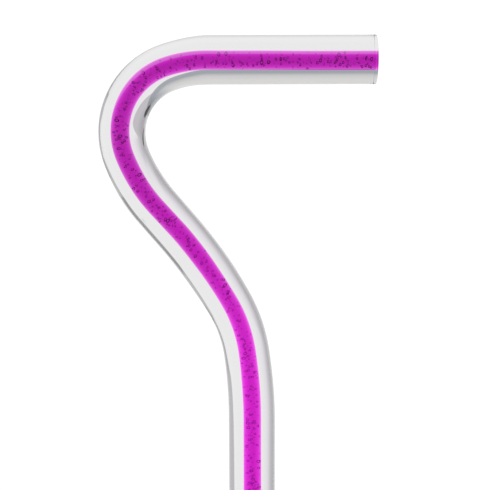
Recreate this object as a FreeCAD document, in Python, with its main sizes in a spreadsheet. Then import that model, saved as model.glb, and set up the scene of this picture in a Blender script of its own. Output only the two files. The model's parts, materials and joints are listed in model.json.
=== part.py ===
"""Walking cane bent from one clear cast rod with a coloured core, standing on a rubber ferrule.

Frame: +Z up along the shaft, +X towards the free end of the handle, and the handle, the bend and
the swan neck all lie in the XZ plane. The origin is the centre of the ferrule's underside.
"""
import FreeCAD, Part
import Sketcher
import math
import os

# Driving dimensions: millimetres, and degrees for the turns.
SIZES = {
    # the rod and what is cast into it
    "rod_dia": 25.0,
    "core_dia": 6.6,
    "edge_break": 0.2,
    # the centreline, from the foot up: shaft, swan neck, palm bend, handle
    "shaft_length": 699.5,
    "low_radius": 268.0,
    "low_turn": 8.2,
    "offset_radius": 78.5,
    "offset_turn": 21.4,
    "upper_radius": 253.0,
    "upper_turn": 10.6,
    "neck_length": 16.2,
    "rise_radius": 87.0,
    "rise_turn": 20.2,
    "palm_radius": 35.6,
    "palm_turn": 90.2,
    "level_radius": 66.2,
    "level_turn": 19.8,
    "handle_length": 84.6,
    # the rubber ferrule and the disc in its socket
    "sole_thickness": 14.0,
    "disc_dia": 24.0,
    "disc_thickness": 1.5,
    "tip_height": 52.0,
    "tip_base_dia": 40.0,
    "tip_collar_dia": 31.0,
    "flange_height": 7.0,
    "bell_height": 24.0,
    "bell_waist_dia": 31.6,
    "mouth_lead": 1.0,
    "sole_round": 1.6,
    "flange_round": 1.8,
    "collar_round": 0.8,
    "band_height": 3.6,
    "band_proud": 0.9,
    "band_pitch": 7.4,
    "band_first": 32.0,
    "tread_inner": 5.5,
    "tread_pitch": 4.6,
    "tread_width": 1.8,
    "tread_depth": 1.6,
}
BAND_COUNT = 3
TREAD_COUNT = 3

# The centreline's stretches in order. Each arc names its radius and its turn, +1 to the left of
# travel and -1 to the right, and a straight stretch names its length.
CENTRELINE = [
    ("straight", "shaft_length"),
    ("arc", "low_radius", "low_turn", +1),
    ("arc", "offset_radius", "offset_turn", +1),
    ("arc", "upper_radius", "upper_turn", +1),
    ("straight", "neck_length"),
    ("arc", "rise_radius", "rise_turn", -1),
    ("arc", "palm_radius", "palm_turn", -1),
    ("arc", "level_radius", "level_turn", -1),
    ("straight", "handle_length"),
]

# The rod stands on the disc, which lies on the floor of the ferrule's socket.
ROD_FOOT = "Sizes.sole_thickness + Sizes.disc_thickness"

START, END, CENTRE = 1, 2, 3        # Sketcher's numbers for a curve's points
X_AXIS, Y_AXIS, ORIGIN = -1, -2, (-1, 1)


def make_sheet(doc):
    """The spreadsheet that every size is bound to."""
    sheet = doc.addObject("Spreadsheet::Sheet", "Sizes")
    for row, (alias, value) in enumerate(SIZES.items(), start=1):
        sheet.set(f"A{row}", alias)
        sheet.set(f"B{row}", str(value))
        sheet.setAlias(f"B{row}", alias)
    doc.recompute()
    return sheet


def new_body(doc, label):
    """An empty body whose label is the name of its piece."""
    body = doc.addObject("PartDesign::Body", label)
    body.Label = label
    body.Placement = FreeCAD.Placement()
    return body


def new_sketch(body, name, plane, height=None):
    """A sketch on one of the body's own planes, raised along the plane's normal by an expression."""
    sketch = body.newObject("Sketcher::SketchObject", name)
    feature = next(f for f in body.Origin.OriginFeatures if f.Role == plane)
    sketch.AttachmentSupport = (feature, "")
    sketch.MapMode = "FlatFace"
    if height:
        sketch.setExpression("AttachmentOffset.Base.z", height)
    return sketch


def constrain(sketch, expression, *arguments):
    """A dimension of the sketch that follows an expression in the sheet's sizes."""
    index = sketch.addConstraint(Sketcher.Constraint(*arguments))
    sketch.setExpression(f"Constraints[{index}]", expression)


def add_circle(sketch, diameter):
    """A circle about the sketch's origin, its diameter an expression."""
    radius = sketch.evalExpression(diameter) / 2
    circle = Part.Circle(FreeCAD.Vector(), FreeCAD.Vector(0, 0, 1), radius)
    index = sketch.addGeometry(circle)
    sketch.addConstraint(Sketcher.Constraint("Coincident", index, CENTRE, *ORIGIN))
    constrain(sketch, diameter, "Diameter", index, 2 * radius)


def add_outline(sketch, corners):
    """A closed outline of straight sides. Each corner is a pair of expressions, across and up."""
    points = [FreeCAD.Vector(*(float(sketch.evalExpression(e)) for e in corner)) for corner in corners]
    count = len(points)
    sides = [sketch.addGeometry(Part.LineSegment(points[i], points[(i + 1) % count]))
             for i in range(count)]
    for i, side in enumerate(sides):
        following = sides[(i + 1) % count]
        sketch.addConstraint(Sketcher.Constraint("Coincident", side, END, following, START))
        for axis, kind, expression in zip((Y_AXIS, X_AXIS), ("DistanceX", "DistanceY"), corners[i]):
            if expression == "0":
                sketch.addConstraint(Sketcher.Constraint("PointOnObject", side, START, axis))
            else:
                value = float(sketch.evalExpression(expression))
                constrain(sketch, expression, kind, side, START, value)


def arc_ahead(point, heading, radius, turn, side):
    """The arc that leaves a point tangent to a heading, with its end point and its new heading."""
    normal = FreeCAD.Vector(-math.sin(heading), math.cos(heading)) * side
    centre = point + normal * radius
    start = math.atan2(point.y - centre.y, point.x - centre.x)
    stop = start + side * turn
    first, last = (start, stop) if side > 0 else (stop, start)
    circle = Part.Circle(centre, FreeCAD.Vector(0, 0, 1), radius)
    end = centre + FreeCAD.Vector(math.cos(stop), math.sin(stop)) * radius
    return Part.ArcOfCircle(circle, first, last), end, heading + side * turn


def add_centreline(body):
    """The rod's centreline: straight stretches and arcs, each tangent to the one before."""
    sketch = new_sketch(body, f"{body.Label}_centreline", "XZ_Plane")
    point = FreeCAD.Vector(0, sketch.evalExpression(ROD_FOOT))
    heading = math.pi / 2
    previous = None
    for kind, *names in CENTRELINE:
        if kind == "straight":
            length = SIZES[names[0]]
            end = point + FreeCAD.Vector(math.cos(heading), math.sin(heading)) * length
            index = sketch.addGeometry(Part.LineSegment(point, end))
            ends = (START, END)
            constrain(sketch, f"Sizes.{names[0]}", "Distance", index, length)
        else:
            radius_name, turn_name, side = names
            turn = math.radians(SIZES[turn_name])
            arc, end, heading = arc_ahead(point, heading, SIZES[radius_name], turn, side)
            index = sketch.addGeometry(arc)
            ends = (START, END) if side > 0 else (END, START)
            constrain(sketch, f"Sizes.{radius_name}", "Radius", index, SIZES[radius_name])
            constrain(sketch, f"Sizes.{turn_name} * 1 deg", "Angle", index, turn)
        if previous:
            sketch.addConstraint(Sketcher.Constraint("Tangent", *previous, index, ends[0]))
        else:
            sketch.addConstraint(Sketcher.Constraint("Vertical", index))
            sketch.addConstraint(Sketcher.Constraint("PointOnObject", index, START, Y_AXIS))
            constrain(sketch, ROD_FOOT, "DistanceY", index, START, point.y)
        previous = (index, ends[1])
        point = end
    return sketch


def sweep(body, *diameters):
    """A rod along the centreline. A second diameter is the bore through it."""
    path = add_centreline(body)
    section = new_sketch(body, f"{body.Label}_section", "XY_Plane", ROD_FOOT)
    for diameter in diameters:
        add_circle(section, diameter)
    pipe = body.newObject("PartDesign::AdditivePipe", f"{body.Label}_sweep")
    pipe.Profile = section
    pipe.Spine = (path, [f"Edge{i + 1}" for i in range(len(CENTRELINE))])
    body.Document.recompute()
    return pipe


def outer_end_edges(shape, radius):
    """The names of the circles of a radius that bound the flat ends of a shape."""
    names = []
    for number, edge in enumerate(shape.Edges, start=1):
        is_rim = isinstance(edge.Curve, Part.Circle) and abs(edge.Curve.Radius - radius) < 1e-6
        faces = shape.ancestorsOfType(edge, Part.Face)
        if is_rim and any(isinstance(face.Surface, Part.Plane) for face in faces):
            names.append(f"Edge{number}")
    return names


def make_clear_rod(doc):
    """The clear outer rod, bored right through for the core and polished round at both ends."""
    body = new_body(doc, "clear_rod")
    pipe = sweep(body, "Sizes.rod_dia", "Sizes.core_dia")
    rounding = body.newObject("PartDesign::Fillet", "polished_edges")
    rounding.Base = (pipe, outer_end_edges(pipe.Shape, SIZES["rod_dia"] / 2))
    rounding.setExpression("Radius", "Sizes.edge_break")
    return body


def make_coloured_core(doc):
    """The coloured core, which fills the clear rod's bore and is flush with its ends."""
    body = new_body(doc, "coloured_core")
    sweep(body, "Sizes.core_dia")
    return body


def revolve(body, name, kind, corners):
    """An outline across and up from the shaft's axis, turned right round it."""
    sketch = new_sketch(body, f"{name}_outline", "XZ_Plane")
    add_outline(sketch, corners)
    feature = body.newObject(kind, name)
    feature.Profile = sketch
    feature.ReferenceAxis = (sketch, ["V_Axis"])
    feature.Angle = 360
    body.Document.recompute()
    return feature


def circle_at(shape, radius, height):
    """The name of the circle of a radius about the shaft's axis at a height."""
    for number, edge in enumerate(shape.Edges, start=1):
        curve = edge.Curve
        if not isinstance(curve, Part.Circle):
            continue
        if abs(curve.Radius - radius) < 1e-6 and abs(curve.Center.z - height) < 1e-6:
            return f"Edge{number}"
    raise ValueError(f"no circle of radius {radius} at height {height}")


def round_edge(body, name, radius, height, size):
    """A fillet round one circular edge of the ferrule."""
    base = body.Tip
    fillet = body.newObject("PartDesign::Fillet", name)
    fillet.Base = (base, [circle_at(base.Shape, radius, height)])
    fillet.setExpression("Radius", size)
    body.Document.recompute()


def make_ferrule(doc):
    """The rubber tip: flanged sole, flared bell, socket for the rod, grip bands and ring tread."""
    body = new_body(doc, "ferrule")
    revolve(body, "bell", "PartDesign::Revolution", [
        ("0", "0"),
        ("Sizes.tip_base_dia / 2", "0"),
        ("Sizes.tip_base_dia / 2", "Sizes.flange_height"),
        ("Sizes.bell_waist_dia / 2", "Sizes.bell_height"),
        ("Sizes.tip_collar_dia / 2", "Sizes.tip_height"),
        ("Sizes.rod_dia / 2 + Sizes.mouth_lead", "Sizes.tip_height"),
        ("Sizes.rod_dia / 2", "Sizes.tip_height - Sizes.mouth_lead"),
        ("Sizes.rod_dia / 2", "Sizes.sole_thickness"),
        ("0", "Sizes.sole_thickness"),
    ])
    base_radius = SIZES["tip_base_dia"] / 2
    round_edge(body, "sole_edge", base_radius, 0, "Sizes.sole_round")
    round_edge(body, "flange_edge", base_radius, SIZES["flange_height"], "Sizes.flange_round")
    round_edge(body, "mouth_edge", SIZES["tip_collar_dia"] / 2, SIZES["tip_height"],
               "Sizes.collar_round")
    for band in range(BAND_COUNT):
        low = f"Sizes.band_first + {band} * Sizes.band_pitch"
        revolve(body, f"grip_band_{band + 1}", "PartDesign::Revolution", [
            ("Sizes.rod_dia / 2 + Sizes.mouth_lead", low),
            ("Sizes.tip_collar_dia / 2 + Sizes.band_proud", f"{low} + Sizes.band_height / 4"),
            ("Sizes.tip_collar_dia / 2 + Sizes.band_proud", f"{low} + Sizes.band_height * 3 / 4"),
            ("Sizes.rod_dia / 2 + Sizes.mouth_lead", f"{low} + Sizes.band_height"),
        ])
    for ring in range(TREAD_COUNT):
        inner = f"Sizes.tread_inner + {ring} * Sizes.tread_pitch"
        revolve(body, f"tread_{ring + 1}", "PartDesign::Groove", [
            (inner, "0"),
            (f"{inner} + Sizes.tread_width", "0"),
            (f"{inner} + Sizes.tread_width * 0.8", "Sizes.tread_depth"),
            (f"{inner} + Sizes.tread_width * 0.2", "Sizes.tread_depth"),
        ])
    return body


def make_ferrule_washer(doc):
    """The steel disc on the socket's floor, between the rubber and the rod's end."""
    body = new_body(doc, "ferrule_washer")
    section = new_sketch(body, "washer_section", "XY_Plane", "Sizes.sole_thickness")
    add_circle(section, "Sizes.disc_dia")
    pad = body.newObject("PartDesign::Pad", "washer_disc")
    pad.Profile = section
    pad.setExpression("Length", "Sizes.disc_thickness")
    return body


def check(doc, bodies):
    """Stop if any object failed to build or any piece is not one valid closed solid."""
    for obj in doc.Objects:
        if "Invalid" in obj.State or "Error" in obj.State:
            raise RuntimeError(f"{obj.Label} failed: {obj.State}")
    for body in bodies:
        shape = body.Shape
        if shape.isNull() or not shape.isValid() or len(shape.Solids) != 1:
            raise RuntimeError(f"{body.Label} is not one valid solid")


def export(bodies):
    """One STEP file for each piece."""
    os.makedirs("parts", exist_ok=True)
    for body in bodies:
        box = body.Shape.BoundBox
        body.Shape.exportStep(f"parts/{body.Label}.step")
        print(f"{body.Label}: volume {body.Shape.Volume:.1f} mm3, x {box.XMin:.2f} to {box.XMax:.2f},"
              f" y {box.YMin:.2f} to {box.YMax:.2f}, z {box.ZMin:.2f} to {box.ZMax:.2f}")


def main():
    doc = FreeCAD.newDocument("cane")
    make_sheet(doc)
    bodies = [
        make_clear_rod(doc),
        make_coloured_core(doc),
        make_ferrule(doc),
        make_ferrule_washer(doc),
    ]
    doc.recompute()
    check(doc, bodies)
    export(bodies)


main()
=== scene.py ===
"""Studio model of a clear acrylic cane with a bubbled magenta core and a rubber ferrule.

Everything is in metres in the cane's own frame: +Z up the shaft, +X towards the free end of the
handle, and the origin at the centre of the ferrule's underside.
"""
import bpy
import json
import math
import random
from mathutils import Matrix, Vector


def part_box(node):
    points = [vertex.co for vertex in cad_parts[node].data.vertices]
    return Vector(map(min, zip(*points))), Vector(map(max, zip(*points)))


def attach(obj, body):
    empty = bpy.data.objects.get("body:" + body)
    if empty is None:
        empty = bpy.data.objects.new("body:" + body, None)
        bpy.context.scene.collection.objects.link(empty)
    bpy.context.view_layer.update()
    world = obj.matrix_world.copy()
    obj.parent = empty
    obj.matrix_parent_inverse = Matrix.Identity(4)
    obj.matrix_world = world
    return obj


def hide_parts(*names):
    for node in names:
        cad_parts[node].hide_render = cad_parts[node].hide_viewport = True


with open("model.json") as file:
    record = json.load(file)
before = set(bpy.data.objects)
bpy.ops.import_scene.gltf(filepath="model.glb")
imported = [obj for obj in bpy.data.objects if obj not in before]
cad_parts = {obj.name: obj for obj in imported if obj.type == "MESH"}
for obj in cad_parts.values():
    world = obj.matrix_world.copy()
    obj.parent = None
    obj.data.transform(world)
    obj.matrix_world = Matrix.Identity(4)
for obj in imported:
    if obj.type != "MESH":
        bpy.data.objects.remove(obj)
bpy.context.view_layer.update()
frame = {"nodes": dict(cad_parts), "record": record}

MM = 0.001
hand_grip = next(mount for mount in frame["record"]["mounts"] if mount["name"] == "hand_grip")
rod_low, rod_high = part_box("clear_rod")

ROD_RADIUS = hand_grip["dims"]["r_mm"] * MM
HANDLE_HEIGHT = hand_grip["pos_m"][2]
HANDLE_END = rod_high.x
ROD_FOOT = rod_low.z
CORE_RADIUS = 3.3 * MM
EDGE_LENGTH = 1.2 * MM    # the polished end's soft edge, along the rod
EDGE_DEPTH = 0.11 * MM    # and across it

# The bends from the foot up, as in the CAD: radius, turn in degrees, side (+1 left, -1 right).
SWAN_NECK = [(268.0 * MM, 8.2, +1), (78.5 * MM, 21.4, +1), (253.0 * MM, 10.6, +1)]
NECK_LENGTH = 16.2 * MM
PALM_BEND = [(87.0 * MM, 20.2, -1), (35.6 * MM, 90.2, -1), (66.2 * MM, 19.8, -1)]
HANDLE_LENGTH = 84.6 * MM

ACRYLIC_INDEX = 1.49                # refractive index
SHARP_ANGLE = math.radians(40)      # edges that turn more than this stay sharp


# ---------------------------------------------------------------- the centreline

def walk(stretches, point, heading):
    """Each stretch as (start, heading, length, curvature), following on from the one before."""
    path = []
    for length, curvature in stretches:
        path.append((point, heading, length, curvature))
        point, heading = advance(point, heading, length, curvature)
    return path, point


def advance(point, heading, length, curvature):
    """The point and heading a length further on along a line or an arc, in the XZ plane."""
    if curvature == 0:
        return point + Vector((math.cos(heading), 0, math.sin(heading))) * length, heading
    turned = heading + length * curvature
    across = (math.sin(turned) - math.sin(heading)) / curvature
    up = (math.cos(heading) - math.cos(turned)) / curvature
    return point + Vector((across, 0, up)), turned


def arc_stretches(arcs):
    """Arcs given by radius, turn and side, as lengths and curvatures."""
    return [(radius * math.radians(turn), side / radius) for radius, turn, side in arcs]


def whole_path():
    """The centreline from the rod's foot to the handle's end, its shaft as long as the CAD's."""
    upper = arc_stretches(SWAN_NECK) + [(NECK_LENGTH, 0)] + arc_stretches(PALM_BEND)
    rise = walk(upper, Vector(), math.pi / 2)[1].z
    shaft_length = HANDLE_HEIGHT - ROD_FOOT - rise
    stretches = [(shaft_length, 0)] + upper + [(HANDLE_LENGTH, 0)]
    return walk(stretches, Vector((0, 0, ROD_FOOT)), math.pi / 2)[0]


PATH = whole_path()
PATH_LENGTH = sum(stretch[2] for stretch in PATH)
SHAFT_END = PATH[0][2]
NECK_START = sum(stretch[2] for stretch in PATH[:4])
PALM_START = sum(stretch[2] for stretch in PATH[:5])
HANDLE_START = PATH_LENGTH - HANDLE_LENGTH


def along(distance):
    """The centreline's point and heading at a distance from the foot."""
    distance = min(max(distance, 0), PATH_LENGTH)
    for point, heading, length, curvature in PATH:
        if distance <= length:
            break
        distance -= length
    return advance(point, heading, min(distance, length), curvature)


def frame_at(distance):
    """The centreline's point, its direction and the direction to the left of it in the plane."""
    point, heading = along(distance)
    forward = Vector((math.cos(heading), 0, math.sin(heading)))
    left = Vector((-math.sin(heading), 0, math.cos(heading)))
    return point, forward, left


def ease(value, start, end):
    """0 before start, 1 after end, and a smooth step between."""
    t = min(max((value - start) / (end - start), 0), 1)
    return t * t * (3 - 2 * t)


def stations(start, end):
    """Distances along the rod, close together where it bends and in steps where it is straight."""
    bend_step, straight_step = 1.2 * MM, 12 * MM
    result = [start]
    position = 0
    for _, _, length, curvature in PATH:
        step = bend_step if curvature else straight_step
        count = max(1, round(length / step))
        result += [position + length * i / count for i in range(count + 1)]
        position += length
    result = sorted(d for d in result + [end] if start <= d <= end)
    tidy = [result[0]]
    for distance in result[1:]:
        if distance - tidy[-1] > 0.02 * MM:
            tidy.append(distance)
    return tidy


# ---------------------------------------------------------------- mesh building

def new_object(name, vertices, faces, smooth=True):
    """A mesh object in the scene, from vertices and faces that turn outward."""
    mesh = bpy.data.meshes.new(name)
    mesh.from_pydata([tuple(v) for v in vertices], [], faces)
    mesh.validate()
    mesh.polygons.foreach_set("use_smooth", [smooth] * len(mesh.polygons))
    mesh.update()
    obj = bpy.data.objects.new(name, mesh)
    bpy.context.scene.collection.objects.link(obj)
    return obj


def bridge(rings, sides):
    """Faces of a tube of rings, each with the same number of vertices, closed by two end caps."""
    faces = []
    for r in range(rings - 1):
        for i in range(sides):
            a, b = r * sides + i, r * sides + (i + 1) % sides
            faces.append((a, b, b + sides, a + sides))
    faces.append(tuple(reversed(range(sides))))
    faces.append(tuple(range((rings - 1) * sides, rings * sides)))
    return faces


def rod_mesh(name, profile, sides):
    """A bent round bar. Profile lists (distance, radius in the plane, radius across, drift left)."""
    vertices = []
    for distance, in_plane, across, drift in profile:
        point, _, left = frame_at(distance)
        for i in range(sides):
            angle = math.tau * i / sides
            offset = left * (drift - in_plane * math.cos(angle))
            vertices.append(point + offset + Vector((0, across * math.sin(angle), 0)))
    return new_object(name, vertices, bridge(len(profile), sides))


# ---------------------------------------------------------------- clear rod

THINNING = 0.030        # how much flatter heat forming leaves a bend, as a share of the radius
EDGE_STEPS = 9          # rings along each end's soft edge
ROD_SIDES = 160
CORE_SIDES = 96


def in_plane_radius(distance):
    """The rod's radius in the plane of the bends, a little less where it was bent hot."""
    lower = ease(distance, SHAFT_END - 5 * MM, SHAFT_END + 45 * MM)
    lower *= 1 - ease(distance, NECK_START - 55 * MM, NECK_START - 25 * MM)
    upper = ease(distance, PALM_START + 5 * MM, PALM_START + 35 * MM)
    upper *= 1 - ease(distance, HANDLE_START - 18 * MM, HANDLE_START)
    return ROD_RADIUS * (1 - THINNING * max(lower, upper))


def make_rod():
    """The clear rod as one solid bar, so that light meets its outside only."""
    edge = []
    for i in range(EDGE_STEPS + 1):
        angle = math.pi / 2 * i / EDGE_STEPS
        radius = ROD_RADIUS - EDGE_DEPTH * (1 - math.cos(angle))
        edge.append((EDGE_LENGTH * (1 - math.sin(angle)), radius, radius, 0))
    foot = list(reversed(edge))
    end = [(PATH_LENGTH - d, a, b, drift) for d, a, b, drift in edge]
    margin = EDGE_LENGTH + 0.1 * MM
    middle = [(d, in_plane_radius(d), ROD_RADIUS, 0)
              for d in stations(margin, PATH_LENGTH - margin)]
    rod = rod_mesh("acrylic_rod", foot + middle + end, ROD_SIDES)
    rod.data.set_sharp_from_angle(angle=SHARP_ANGLE)
    return rod


# ---------------------------------------------------------------- coloured core

END_GAP = 0.03 * MM     # keeps the core's end faces just inside the rod's


def core_drift(distance):
    """How far the core lies to the left of the rod's centre: the casting is never quite central."""
    shaft = 1 - ease(distance, SHAFT_END + 10 * MM, NECK_START)
    neck = ease(distance, NECK_START - 5 * MM, PALM_START + 12 * MM)
    palm = ease(distance, PALM_START - 5 * MM, PALM_START + 62 * MM)
    handle = ease(distance, HANDLE_START - 46 * MM, HANDLE_START + 9 * MM)
    end = ease(distance, PATH_LENGTH - 65 * MM, PATH_LENGTH - 25 * MM)
    return (0.18 * shaft - 0.32 + 0.50 * neck + 0.62 * palm - 0.90 * handle - 0.21 * end) * MM


def core_radius(distance):
    """The core's radius, full in the handle and least where the rod was drawn out by heat."""
    drawn = ease(distance, SHAFT_END + 15 * MM, SHAFT_END + 40 * MM)
    neck = ease(distance, NECK_START - 45 * MM, NECK_START - 10 * MM)
    palm = ease(distance, PALM_START + 10 * MM, PALM_START + 45 * MM)
    handle = ease(distance, HANDLE_START - 60 * MM, HANDLE_START + 5 * MM)
    return CORE_RADIUS * (0.95 - 0.04 * drawn + 0.075 * neck - 0.02 * palm + 0.04 * handle)


def make_core():
    """The magenta core, which fills the middle of the rod up to both end faces."""
    profile = []
    for distance in stations(END_GAP, PATH_LENGTH - END_GAP):
        radius = core_radius(distance)
        profile.append((distance, radius, radius, core_drift(distance)))
    core = rod_mesh("magenta_core", profile, CORE_SIDES)
    core.data.set_sharp_from_angle(angle=SHARP_ANGLE)
    return core


# ---------------------------------------------------------------- bubbles

BUBBLE_SEED = 7
CLUSTER_STEP = (1.8 * MM, 5.2 * MM)     # from one cluster of bubbles to the next
CLUSTER_SPREAD = (0.8 * MM, 2.6 * MM)   # how far a cluster reaches along the core
BIG_SHARE = 0.35                        # the share of clusters that have a big bubble
BIG_RADIUS = (0.58 * MM, 0.80 * MM)
MEDIUM_RADIUS = (0.32 * MM, 0.56 * MM)
SMALL_RADIUS = (0.16 * MM, 0.30 * MM)
MEDIUM_COUNTS = (1, 2, 2, 3, 4)
SMALL_COUNTS = (2, 3, 4, 6)
PLACING_TRIES = 20
NEIGHBOURS = 40                         # how many earlier bubbles a new one is kept off
CORE_SKIN = 0.1 * MM                    # dye left between a bubble and the core's side
END_CLEARANCE = 0.6 * MM                # and between a bubble and the core's ends
SPACING = 1.15                          # least distance of two bubbles, over the sum of their radii
EVENNESS = 0.7                          # 0.5 spreads bubbles evenly over the core, 1 crowds its middle
STRETCH = 1.06                          # how much longer a bubble is along the rod


def unit_ball(rings, sides):
    """Vertices and faces of a ball of radius 1 with two poles on its axis."""
    vertices = [Vector((0, 0, 1))]
    for r in range(1, rings):
        polar = math.pi * r / rings
        for i in range(sides):
            turn = math.tau * (i + 0.5 * (r % 2)) / sides
            vertices.append(Vector((math.sin(polar) * math.cos(turn),
                                    math.sin(polar) * math.sin(turn), math.cos(polar))))
    vertices.append(Vector((0, 0, -1)))
    last = len(vertices) - 1
    faces = [(0, 1 + i, 1 + (i + 1) % sides) for i in range(sides)]
    for r in range(rings - 2):
        for i in range(sides):
            a, b = 1 + r * sides + i, 1 + r * sides + (i + 1) % sides
            faces.append((a, a + sides, b + sides, b))
    base = last - sides
    faces += [(last, base + (i + 1) % sides, base + i) for i in range(sides)]
    return vertices, faces


def bubble_sites(seed):
    """Centre distance, offsets and radius of each bubble: strings and clusters along the core."""
    draw = random.Random(seed)
    sites = []
    cluster = 3 * MM
    while cluster < PATH_LENGTH - 2 * MM:
        spread = draw.uniform(*CLUSTER_SPREAD)
        if draw.random() < BIG_SHARE:
            add_site(sites, draw, cluster, 0, draw.uniform(*BIG_RADIUS))
        for _ in range(draw.choice(MEDIUM_COUNTS)):
            add_site(sites, draw, cluster, spread, draw.uniform(*MEDIUM_RADIUS))
        for _ in range(draw.choice(SMALL_COUNTS)):
            add_site(sites, draw, cluster, 1.4 * spread, draw.uniform(*SMALL_RADIUS))
        cluster += draw.uniform(*CLUSTER_STEP)
    return sites


def add_site(sites, draw, centre, spread, radius):
    """A bubble near a cluster's centre, kept inside the core and off the bubbles before it."""
    for _ in range(PLACING_TRIES):
        distance = centre + draw.gauss(0, 1) * spread
        reach = core_radius(distance) - radius - CORE_SKIN
        turn = draw.uniform(0, math.tau)
        away = reach * draw.random() ** EVENNESS
        site = (distance, away * math.cos(turn), away * math.sin(turn), radius)
        margin = radius + END_CLEARANCE
        inside = margin < distance < PATH_LENGTH - margin
        if inside and all(apart(site, other) for other in sites[-NEIGHBOURS:]):
            sites.append(site)
            return


def apart(a, b):
    """True if two bubbles are clear of each other."""
    return math.dist(a[:3], b[:3]) > (a[3] + b[3]) * SPACING


def make_bubbles(name, sites):
    """Air bubbles shut in the core, each a small ball a little longer along the rod."""
    vertices, faces = [], []
    # Each ball with the least radius that it is used for: the smaller the bubble, the plainer.
    balls = [(0.55 * MM, unit_ball(12, 18)), (0.30 * MM, unit_ball(8, 12)), (0, unit_ball(5, 8))]
    for distance, left_offset, across, radius in sites:
        point, forward, left = frame_at(distance)
        centre = point + left * (left_offset + core_drift(distance)) + Vector((0, across, 0))
        ball_vertices, ball_faces = next(ball for least, ball in balls if radius > least)
        start = len(vertices)
        for v in ball_vertices:
            local = left * v.x + Vector((0, v.y, 0)) + forward * v.z * STRETCH
            vertices.append(centre + local * radius)
        faces += [tuple(start + i for i in face) for face in ball_faces]
    return new_object(name, vertices, faces)


# ---------------------------------------------------------------- materials

def new_material(name):
    """A node material with one Principled shader, and its shader and output nodes."""
    material = bpy.data.materials.new(name)
    material.use_nodes = True
    nodes = material.node_tree.nodes
    nodes.clear()
    output = nodes.new("ShaderNodeOutputMaterial")
    shader = nodes.new("ShaderNodeBsdfPrincipled")
    material.node_tree.links.new(shader.outputs["BSDF"], output.inputs["Surface"])
    return material, shader, output


def maths_node(nodes, links, operation, *values):
    """The result of a maths node on sockets or numbers."""
    node = nodes.new("ShaderNodeMath")
    node.operation = operation
    for socket, value in zip(node.inputs, values):
        if isinstance(value, (int, float)):
            socket.default_value = value
        else:
            links.new(value, socket)
    return node.outputs[0]


def step_node(nodes, links, value, start, end, low, high):
    """A smooth step of a socket's value, from low at start to high at end."""
    step = nodes.new("ShaderNodeMapRange")
    step.interpolation_type = "SMOOTHSTEP"
    step.inputs["From Min"].default_value = start
    step.inputs["From Max"].default_value = end
    step.inputs["To Min"].default_value = low
    step.inputs["To Max"].default_value = high
    links.new(value, step.inputs["Value"])
    return step.outputs["Result"]


def noise_node(nodes, links, scale, detail):
    """Soft noise in the object's own space; a scale of 1000 has about one lump a millimetre."""
    place = nodes.new("ShaderNodeTexCoord")
    noise = nodes.new("ShaderNodeTexNoise")
    noise.inputs["Scale"].default_value = scale
    noise.inputs["Detail"].default_value = detail
    links.new(place.outputs["Object"], noise.inputs["Vector"])
    return noise.outputs["Fac"]


def blend_node(nodes, links, share, low, high):
    """A colour between two others, by a share from 0 to 1; each may be a colour or a socket."""
    mix = nodes.new("ShaderNodeMix")
    mix.data_type = "RGBA"
    links.new(share, mix.inputs["Factor"])
    for name, colour in (("A", low), ("B", high)):
        socket = [s for s in mix.inputs if s.name == name and s.type == "RGBA"][0]
        if isinstance(colour, tuple):
            socket.default_value = (*colour, 1)
        else:
            links.new(colour, socket)
    return [s for s in mix.outputs if s.type == "RGBA"][0]


def bump_node(nodes, links, height, strength, distance):
    """A normal tilted by a height, where a height of 1 stands for the distance."""
    bump = nodes.new("ShaderNodeBump")
    bump.inputs["Strength"].default_value = strength
    bump.inputs["Distance"].default_value = distance
    links.new(height, bump.inputs["Height"])
    return bump.outputs["Normal"]


def dot_node(nodes, links, vector, direction):
    """How far a vector leans towards a direction."""
    dot = nodes.new("ShaderNodeVectorMath")
    dot.operation = "DOT_PRODUCT"
    dot.inputs[1].default_value = direction
    links.new(vector, dot.inputs[0])
    return dot.outputs["Value"]


def light_sum(nodes, links, lights):
    """Lights added up, each given as the socket of its strength and its colour."""
    total = None
    for strength, colour in lights:
        light = nodes.new("ShaderNodeVectorMath")
        light.operation = "SCALE"
        light.inputs[0].default_value = colour
        links.new(strength, light.inputs["Scale"])
        if total is None:
            total = light.outputs["Vector"]
        else:
            both = nodes.new("ShaderNodeVectorMath")
            both.operation = "ADD"
            links.new(total, both.inputs[0])
            links.new(light.outputs["Vector"], both.inputs[1])
            total = both.outputs["Vector"]
    return total


def clear(shader, index):
    """Sets a shader to perfectly clear, smooth and colourless, with a refractive index."""
    shader.inputs["Base Color"].default_value = (1, 1, 1, 1)
    shader.inputs["Roughness"].default_value = 0.0
    shader.inputs["IOR"].default_value = index
    shader.inputs["Transmission Weight"].default_value = 1.0


def acrylic_material():
    """Clear cast acrylic: faintly wavy from casting and bending, with a polish not quite even."""
    material, shader, _ = new_material("clear_acrylic")
    nodes, links = material.node_tree.nodes, material.node_tree.links
    clear(shader, ACRYLIC_INDEX)
    waves = noise_node(nodes, links, scale=70, detail=1)
    links.new(bump_node(nodes, links, waves, 1.0, 0.012 * MM), shader.inputs["Normal"])
    polish = noise_node(nodes, links, scale=500, detail=4)
    links.new(step_node(nodes, links, polish, 0.35, 0.75, 0.0, 0.02), shader.inputs["Roughness"])
    return material


DYE_COLOUR = (0.84, 0.0, 0.815)
DYE_DENSITY = 650                   # per metre
# Painted glow: emission in the core standing in for light scattered in the dye, brighter down the
# shaft and on one side.
PAINTED_GLOW_COLOUR = (1.0, 0.0, 0.93)
PAINTED_GLOW_RANGE = (0.018, 0.13)          # in the handle and down the shaft
PAINTED_GLOW_SIDE = (-0.7, 0.0, 0.7)        # the painted glow is stronger on the side towards this
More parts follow.
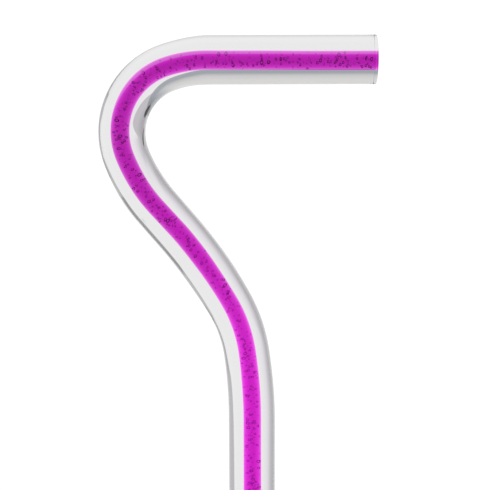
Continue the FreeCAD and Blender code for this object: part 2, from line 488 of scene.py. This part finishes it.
# Painted highlight: a pale band with magenta light under it, on the core's side towards the light near
# the handle.
PAINTED_HIGHLIGHT_COLOUR = (0.45, 0.78, 0.50)
PAINTED_UNDER_HIGHLIGHT_COLOUR = (0.75, 0.02, 0.72)
PAINTED_HIGHLIGHT_STRENGTH = 0.12
PAINTED_HIGHLIGHT_SIDE = (-0.4, 0.0, 0.9)        # the painted highlight lies on the side towards this


def core_material():
    """Magenta dye in the same acrylic: no bend at its boundary, only colour taken with depth.

    Light scattered in the dye is painted as a faint glow, stronger down the shaft than in the handle,
    and the side that faces the light has a painted highlight: a pale band with magenta light under it.
    """
    material, shader, output = new_material("magenta_acrylic")
    nodes, links = material.node_tree.nodes, material.node_tree.links
    clear(shader, 1.0)
    dye = nodes.new("ShaderNodeVolumeAbsorption")
    dye.inputs["Color"].default_value = (*DYE_COLOUR, 1)
    dye.inputs["Density"].default_value = DYE_DENSITY
    links.new(dye.outputs["Volume"], output.inputs["Volume"])

    place = nodes.new("ShaderNodeTexCoord")
    split = nodes.new("ShaderNodeSeparateXYZ")
    links.new(place.outputs["Object"], split.inputs[0])
    height = split.outputs["Z"]
    lit_side = dot_node(nodes, links, place.outputs["Normal"], PAINTED_GLOW_SIDE)
    highlight_side = dot_node(nodes, links, place.outputs["Normal"], PAINTED_HIGHLIGHT_SIDE)

    down_shaft = step_node(nodes, links, height,
                           HANDLE_HEIGHT - 25 * MM, HANDLE_HEIGHT - 170 * MM, *PAINTED_GLOW_RANGE)
    near_handle = step_node(nodes, links, height,
                            HANDLE_HEIGHT - 70 * MM, HANDLE_HEIGHT - 20 * MM, 0.0, PAINTED_HIGHLIGHT_STRENGTH)
    side_share = step_node(nodes, links, lit_side, 0.15, 0.25, 1.0, 1.5)
    # painted highlight: the pale band and the magenta light under it
    highlight_share = step_node(nodes, links, highlight_side, 0.57, 0.69, 0.0, 1.0)
    under_highlight_share = step_node(nodes, links, highlight_side, 0.19, 0.58, 0.0, 1.0)
    # All of the core's emission is painted light: the glow and the highlight.
    light = light_sum(nodes, links, (
        (maths_node(nodes, links, "MULTIPLY", down_shaft, side_share), PAINTED_GLOW_COLOUR),
        (maths_node(nodes, links, "MULTIPLY", near_handle, highlight_share), PAINTED_HIGHLIGHT_COLOUR),
        (maths_node(nodes, links, "MULTIPLY", near_handle, under_highlight_share), PAINTED_UNDER_HIGHLIGHT_COLOUR)))
    links.new(light, shader.inputs["Emission Color"])
    shader.inputs["Emission Strength"].default_value = 1.0
    return material


# Painted shade: the ring's mirror is tinted almost black, for the dim surroundings it reflects through
# the dye.
RING_SHADE_COLOUR = (0.06, 0.0, 0.055)
RING_EDGE = (0.16, 0.28)            # the facing weights where the ring starts and where it is full


def bubble_material():
    """Air shut in acrylic: clear in the middle, and a ring where light can't cross, a mirror tinted
    almost black as painted shade.
    """
    material, shader, output = new_material("bubble_wall")
    nodes, links = material.node_tree.nodes, material.node_tree.links
    nodes.remove(shader)
    bend = nodes.new("ShaderNodeBsdfRefraction")
    bend.inputs["Color"].default_value = (1, 1, 1, 1)
    bend.inputs["Roughness"].default_value = 0.0
    bend.inputs["IOR"].default_value = 1 / ACRYLIC_INDEX
    mirror = nodes.new("ShaderNodeBsdfGlossy")
    mirror.inputs["Color"].default_value = (*RING_SHADE_COLOUR, 1)
    mirror.inputs["Roughness"].default_value = 0.0
    turned = nodes.new("ShaderNodeLayerWeight")
    turned.inputs["Blend"].default_value = 0.5
    share = step_node(nodes, links, turned.outputs["Facing"], *RING_EDGE, 0.0, 1.0)
    mix = nodes.new("ShaderNodeMixShader")
    links.new(share, mix.inputs["Fac"])
    links.new(bend.outputs["BSDF"], mix.inputs[1])
    links.new(mirror.outputs["BSDF"], mix.inputs[2])
    links.new(mix.outputs["Shader"], output.inputs["Surface"])
    return material


def rubber_material():
    """Black moulded rubber: fine grain, uneven bloom, and grey dust and scuffs near the sole."""
    material, shader, _ = new_material("black_rubber")
    nodes, links = material.node_tree.nodes, material.node_tree.links
    bloom = step_node(nodes, links, noise_node(nodes, links, 160, 3), 0.35, 0.70, 0.0, 1.0)
    black = blend_node(nodes, links, bloom, (0.014, 0.014, 0.015), (0.030, 0.030, 0.031))

    place = nodes.new("ShaderNodeTexCoord")
    split = nodes.new("ShaderNodeSeparateXYZ")
    links.new(place.outputs["Object"], split.inputs[0])
    low_down = step_node(nodes, links, split.outputs["Z"], 11 * MM, 1 * MM, 0.0, 1.0)
    scuffs = step_node(nodes, links, noise_node(nodes, links, 900, 5), 0.42, 0.66, 0.15, 1.0)
    dust = maths_node(nodes, links, "MULTIPLY", low_down, scuffs)
    colour = blend_node(nodes, links, dust, black, (0.105, 0.100, 0.092))
    links.new(colour, shader.inputs["Base Color"])

    worn = step_node(nodes, links, bloom, 0.0, 1.0, 0.48, 0.62)
    dusty = step_node(nodes, links, dust, 0.0, 1.0, 0.0, 0.25)
    links.new(maths_node(nodes, links, "ADD", worn, dusty), shader.inputs["Roughness"])

    grain = noise_node(nodes, links, 2600, 3)
    links.new(bump_node(nodes, links, grain, 0.6, 0.05 * MM), shader.inputs["Normal"])
    return material


def steel_material():
    """Zinc-plated steel: a crystal spangle, and a roughness that changes from crystal to crystal."""
    material, shader, _ = new_material("zinc_steel")
    nodes, links = material.node_tree.nodes, material.node_tree.links
    shader.inputs["Metallic"].default_value = 1.0
    place = nodes.new("ShaderNodeTexCoord")
    crystals = nodes.new("ShaderNodeTexVoronoi")
    crystals.inputs["Scale"].default_value = 700
    links.new(place.outputs["Object"], crystals.inputs["Vector"])
    split = nodes.new("ShaderNodeSeparateColor")
    links.new(crystals.outputs["Color"], split.inputs[0])
    tone = split.outputs[0]
    spangle = blend_node(nodes, links, tone, (0.47, 0.48, 0.50), (0.68, 0.69, 0.70))
    links.new(spangle, shader.inputs["Base Color"])
    links.new(step_node(nodes, links, tone, 0.0, 1.0, 0.26, 0.44), shader.inputs["Roughness"])
    grain = noise_node(nodes, links, 1800, 4)
    links.new(bump_node(nodes, links, grain, 0.4, 0.01 * MM), shader.inputs["Normal"])
    return material


# ---------------------------------------------------------------- studio

class Sky:
    """Builds the studio's surroundings, as seen by direction, from nodes in the world's tree."""

    def __init__(self, tree):
        self.nodes, self.links = tree.nodes, tree.links
        place = self.nodes.new("ShaderNodeTexCoord")
        split = self.nodes.new("ShaderNodeSeparateXYZ")
        self.links.new(place.outputs["Generated"], split.inputs[0])
        self.forward = split.outputs["Y"]
        depth = self.maths("ABSOLUTE", self.forward)
        turn = self.maths("ARCTAN2", split.outputs["X"], depth)
        self.azimuth = self.maths("DEGREES", turn)
        self.elevation = self.maths("DEGREES", self.maths("ARCSINE", split.outputs["Z"]))

    def maths(self, operation, *values):
        """The result of a maths node on sockets or numbers."""
        return maths_node(self.nodes, self.links, operation, *values)

    def rise(self, value, start, end):
        """0 at start, 1 at end and a smooth step between."""
        return step_node(self.nodes, self.links, value, start, end, 0.0, 1.0)

    def ramp(self, value, low, high, stops):
        """A colour that changes along a value, with stops of (value, colour)."""
        scaled = self.nodes.new("ShaderNodeMapRange")
        scaled.inputs["From Min"].default_value = low
        scaled.inputs["From Max"].default_value = high
        self.links.new(value, scaled.inputs["Value"])
        ramp = self.nodes.new("ShaderNodeValToRGB")
        elements = ramp.color_ramp.elements
        while len(elements) < len(stops):
            elements.new(0.5)
        for element, (place, colour) in zip(elements, stops):
            element.position = (place - low) / (high - low)
            element.color = (*colour, 1)
        self.links.new(scaled.outputs["Result"], ramp.inputs["Fac"])
        return ramp.outputs["Color"]

    def over(self, share, below, above):
        """One colour laid over another by a share from 0 to 1."""
        return blend_node(self.nodes, self.links, share, below, above)

    def spot(self, azimuth, elevation, width, height, slant):
        """1 inside a soft leaning oval of the given half width and height, in degrees."""
        above = self.maths("SUBTRACT", self.elevation, elevation)
        beside = self.maths("SUBTRACT", self.azimuth, azimuth)
        leaning = self.maths("ADD", beside, self.maths("MULTIPLY", above, slant))
        across = self.maths("DIVIDE", leaning, width)
        up = self.maths("DIVIDE", above, height)
        away = self.maths("ADD", self.maths("POWER", self.maths("ABSOLUTE", across), 2),
                          self.maths("POWER", self.maths("ABSOLUTE", up), 2))
        return self.rise(away, 1.35, 0.65)


def grey(value):
    """A neutral colour."""
    return (value, value, value)


def lilac(value):
    """A grey with a little less green, as in the studio's side screens."""
    return (value * 1.01, value * 0.975, value * 1.03)


def slate(value):
    """A bluish grey, as under the studio's ceiling."""
    return (value * 0.94, value, value * 1.09)


# Dark gaps between the screens: azimuth, elevation, half width, half height, slant.
DARK_GAPS = ((-46.8, 16.3, 7, 6.2, 0), (-55, -6, 3.4, 9, 0.6), (61, 13.5, 6, 4.5, 0))


def surroundings(sky):
    """White before and behind, grey screens at the sides and a dimmer ceiling with a dark rim."""
    az, el = sky.azimuth, sky.elevation
    colour = sky.ramp(el, -90, 90, [
        (-90, grey(0.70)), (-60, grey(0.75)), (-56, grey(0.77)), (-51, grey(0.84)),
        (-48, grey(0.85)), (90, grey(0.85))])
    colour = left_screen(sky, colour)
    colour = ceiling(sky, colour)
    colour = right_screen(sky, colour)
    for gap in DARK_GAPS:
        colour = sky.over(sky.spot(*gap), colour, grey(0.01))
    return colour


def left_screen(sky, backdrop):
    """The grey screen at the left: its edge bulges out at eye level and softens below."""
    az, el = sky.azimuth, sky.elevation
    left = sky.ramp(az, -90, 0, [
        (-90, lilac(0.60)), (-74, lilac(0.52)), (-62, lilac(0.42)), (-50, lilac(0.40)),
        (-42, lilac(0.46)), (-37, lilac(0.58)), (-32, lilac(0.68)), (-28, lilac(0.76)),
        (-23, lilac(0.82)), (-20, grey(0.845)), (0, grey(0.845))])
    band = sky.maths("MULTIPLY", sky.rise(el, -17, -19), sky.rise(el, -25, -22.5))
    outward = sky.maths("ADD", az, sky.maths("MULTIPLY", band, 3.5))
    low_left = sky.ramp(outward, -90, 0, [
        (-90, lilac(0.60)), (-74, lilac(0.55)), (-66, lilac(0.46)), (-60, lilac(0.41)),
        (-48, lilac(0.42)), (-43, lilac(0.45)), (-39, lilac(0.50)), (-35, lilac(0.585)),
        (-31, lilac(0.68)), (-28, lilac(0.755)), (-24, lilac(0.79)), (-19, grey(0.825)),
        (-13, grey(0.845)), (0, grey(0.845))])
    left = sky.over(sky.rise(el, -9, -14), left, low_left)
    screen = sky.ramp(az, -90, 0, [
        (-90, lilac(0.60)), (-66, lilac(0.50)), (-56, lilac(0.37)), (-48, lilac(0.37)),
        (-42, lilac(0.41)), (-36, lilac(0.47)), (-31, lilac(0.53)), (0, lilac(0.53))])
    edge = sky.maths("ADD", az, sky.maths("MULTIPLY", sky.rise(el, 0.5, -6), 13))
    upper = sky.over(sky.rise(edge, -21.2, -22.6), backdrop, screen)
    lower = sky.over(sky.rise(az, -12, -16), backdrop, left)
    return sky.over(sky.rise(el, -2, -8), upper, lower)


def right_screen(sky, backdrop):
    """The grey screen at the right, whose edge leans inward above and has a dark slanting bar."""
    az, el = sky.azimuth, sky.elevation
    dark = sky.ramp(az, 0, 90, [
        (0, lilac(0.36)), (61, lilac(0.36)), (67, lilac(0.50)), (90, lilac(0.55))])
    light = sky.ramp(az, 0, 90, [(0, lilac(0.49)), (66, lilac(0.46)), (90, lilac(0.52))])
    band = sky.maths("MULTIPLY", sky.rise(el, -9, -14), sky.rise(el, -26, -22.5))
    screen = sky.over(band, dark, light)
    screen = sky.over(sky.rise(el, 7, 12), screen, grey(0.44))
    above = sky.maths("MAXIMUM", sky.maths("SUBTRACT", el, 7.5), 0)
    lean = sky.maths("MINIMUM", sky.maths("MULTIPLY", above, 1.5), 22)
    lean = sky.maths("ADD", lean, sky.maths("MULTIPLY", band, 6.5))
    lean = sky.maths("ADD", lean, sky.maths("MULTIPLY", sky.rise(el, -17.5, -21), 2))
    inside = sky.rise(sky.maths("ADD", az, lean), 48.7, 51.3)
    colour = sky.over(sky.maths("MULTIPLY", inside, sky.rise(el, 31, 26)), backdrop, screen)
    return sky.over(slanting_bar(sky), colour, grey(0.21))


def slanting_bar(sky):
    """1 inside the right screen's bar, which climbs outward from its height at the middle."""
    middle_height, slope = 7.2, 0.35
    above = sky.maths("SUBTRACT", sky.elevation, middle_height)
    offset = sky.maths("SUBTRACT", above, sky.maths("MULTIPLY", sky.azimuth, slope))
    bar = sky.rise(sky.maths("ABSOLUTE", offset), 5.0, 3.6)
    ends = sky.maths("MULTIPLY", sky.rise(sky.azimuth, 33, 41), sky.rise(sky.azimuth, 56, 51))
    return sky.maths("MULTIPLY", bar, ends)


WARM = (0.69, 0.68, 0.665)      # the middle of the ceiling


def ceiling(sky, backdrop):
    """The ceiling: darkest and bluish just above the white walls, dim at both sides."""
    az, el = sky.azimuth, sky.elevation
    height = sky.maths("SUBTRACT", el, sky.maths("MULTIPLY", sky.rise(az, 22, 36), 7.5))
    height = sky.maths("SUBTRACT", height, sky.maths("MULTIPLY", sky.rise(az, -2, -7), 1.6))
    middle = sky.ramp(height, 0, 90, [
        (0, slate(0.41)), (17, slate(0.39)), (20, slate(0.375)), (22, slate(0.42)),
        (24, grey(0.495)), (26, grey(0.555)), (28, grey(0.60)), (32, grey(0.64)),
        (46, WARM), (57, WARM), (70, grey(0.61)), (90, grey(0.60))])
    left = sky.ramp(height, 0, 90, [
        (0, slate(0.22)), (19, slate(0.24)), (24, slate(0.31)), (34, slate(0.36)), (38, slate(0.43)),
        (44, grey(0.53)), (52, grey(0.64)), (90, grey(0.66))])
    right = sky.ramp(height, 0, 90, [
        (0, grey(0.50)), (34, grey(0.55)), (48, grey(0.64)), (90, grey(0.66))])
    colour = sky.over(sky.rise(az, -18, -42), middle, left)
    colour = sky.over(sky.rise(az, 34, 44), colour, right)
    return sky.over(sky.rise(height, 13.9, 15.1), backdrop, colour)


BACKDROP_STRENGTH = 1.05    # just over white, so that the backdrop is white in the picture
REFLECTION_LOSS = 0.85


def make_world():
    """The studio: plain white to the camera, and its screens and ceiling to light and glass."""
    world = bpy.data.worlds.new("studio")
    bpy.context.scene.world = world
    world.use_nodes = True
    nodes, links = world.node_tree.nodes, world.node_tree.links
    nodes.clear()
    output = nodes.new("ShaderNodeOutputWorld")
    seen = nodes.new("ShaderNodeBackground")
    seen.inputs["Color"].default_value = (1, 1, 1, 1)
    seen.inputs["Strength"].default_value = BACKDROP_STRENGTH
    around = nodes.new("ShaderNodeBackground")
    mix = nodes.new("ShaderNodeMixShader")
    path = nodes.new("ShaderNodeLightPath")
    sky = Sky(world.node_tree)
    links.new(surroundings(sky), around.inputs["Color"])
    # Reflections of the camera's side are dimmed, as if that side of the studio were unlit.
    behind = sky.rise(sky.forward, 0.3, -0.3)
    dim = sky.maths("MULTIPLY", path.outputs["Is Reflection Ray"], behind)
    links.new(sky.maths("SUBTRACT", 1.0, sky.maths("MULTIPLY", dim, REFLECTION_LOSS)),
              around.inputs["Strength"])
    links.new(path.outputs["Is Camera Ray"], mix.inputs["Fac"])
    links.new(around.outputs["Background"], mix.inputs[1])
    links.new(seen.outputs["Background"], mix.inputs[2])
    links.new(mix.outputs["Shader"], output.inputs["Surface"])


def make_floor():
    """A plain pale round floor, whose rim fades into the white of the studio."""
    radius, sides = 1.5, 96
    turns = [math.tau * i / sides for i in range(sides)]
    rim = [(radius * math.cos(turn), radius * math.sin(turn), 0) for turn in turns]
    floor = new_object("floor", rim, [tuple(range(sides))], smooth=False)
    material, shader, _ = new_material("pale_floor")
    nodes, links = material.node_tree.nodes, material.node_tree.links
    shader.inputs["Base Color"].default_value = (0.85, 0.85, 0.85, 1)
    shader.inputs["Roughness"].default_value = 0.8
    place = nodes.new("ShaderNodeTexCoord")
    reach = nodes.new("ShaderNodeVectorMath")
    reach.operation = "LENGTH"
    links.new(place.outputs["Object"], reach.inputs[0])
    fade = step_node(nodes, links, reach.outputs["Value"], radius * 0.5, radius, 1.0, 0.0)
    links.new(fade, shader.inputs["Alpha"])
    floor.data.materials.append(material)
    floor.visible_transmission = False
    floor.visible_glossy = False


def make_light():
    """One big soft light overhead."""
    data = bpy.data.lights.new("overhead", "AREA")
    data.shape = "SQUARE"
    data.size = 3.0
    data.energy = 60
    light = bpy.data.objects.new("overhead", data)
    light.location = (0, 0, 3.0)
    light.visible_camera = False
    light.visible_transmission = False
    light.visible_glossy = False
    bpy.context.scene.collection.objects.link(light)


def make_camera():
    """The camera, level with the handle and tipped down so that the shaft leaves the picture."""
    pitch, yaw, roll = math.radians(9.91), math.radians(0.47), math.radians(-0.18)
    forward = Vector((math.sin(yaw) * math.cos(pitch), math.cos(yaw) * math.cos(pitch),
                      -math.sin(pitch)))
    right = Vector((math.cos(yaw), -math.sin(yaw), 0))
    up = right.cross(forward)
    rolled_right = right * math.cos(roll) + up * math.sin(roll)
    rolled_up = up * math.cos(roll) - right * math.sin(roll)
    place = Vector((HANDLE_END - 71.9 * MM, -575.0 * MM, HANDLE_HEIGHT + 4.35 * MM))
    data = bpy.data.cameras.new("camera")
    data.sensor_width = 36
    data.lens = 81.5
    data.clip_start = 0.01
    camera = bpy.data.objects.new("camera", data)
    axes = Matrix((rolled_right, rolled_up, -forward)).transposed()
    camera.matrix_world = Matrix.Translation(place) @ axes.to_4x4()
    bpy.context.scene.collection.objects.link(camera)
    bpy.context.scene.camera = camera


# ---------------------------------------------------------------- putting it together

def dress(piece, material):
    """Gives a piece its one material."""
    piece.data.materials.clear()
    piece.data.materials.append(material)


rod = make_rod()
dress(rod, acrylic_material())
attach(rod, "root")
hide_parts("clear_rod")

core = make_core()
dress(core, core_material())
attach(core, "root")
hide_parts("coloured_core")

wall = bubble_material()
all_sites = bubble_sites(BUBBLE_SEED)
for name, start, end in (("shaft_bubbles", 0, SHAFT_END), ("head_bubbles", SHAFT_END, PATH_LENGTH)):
    bubbles = make_bubbles(name, [site for site in all_sites if start <= site[0] < end])
    dress(bubbles, wall)
    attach(bubbles, "root")

dress(frame["nodes"]["ferrule"], rubber_material())
dress(frame["nodes"]["ferrule_washer"], steel_material())

make_world()
make_floor()
make_light()
make_camera()

scene = bpy.context.scene
scene.view_settings.view_transform = "Standard"
scene.cycles.max_bounces = 24
scene.cycles.transmission_bounces = 24
scene.cycles.glossy_bounces = 12
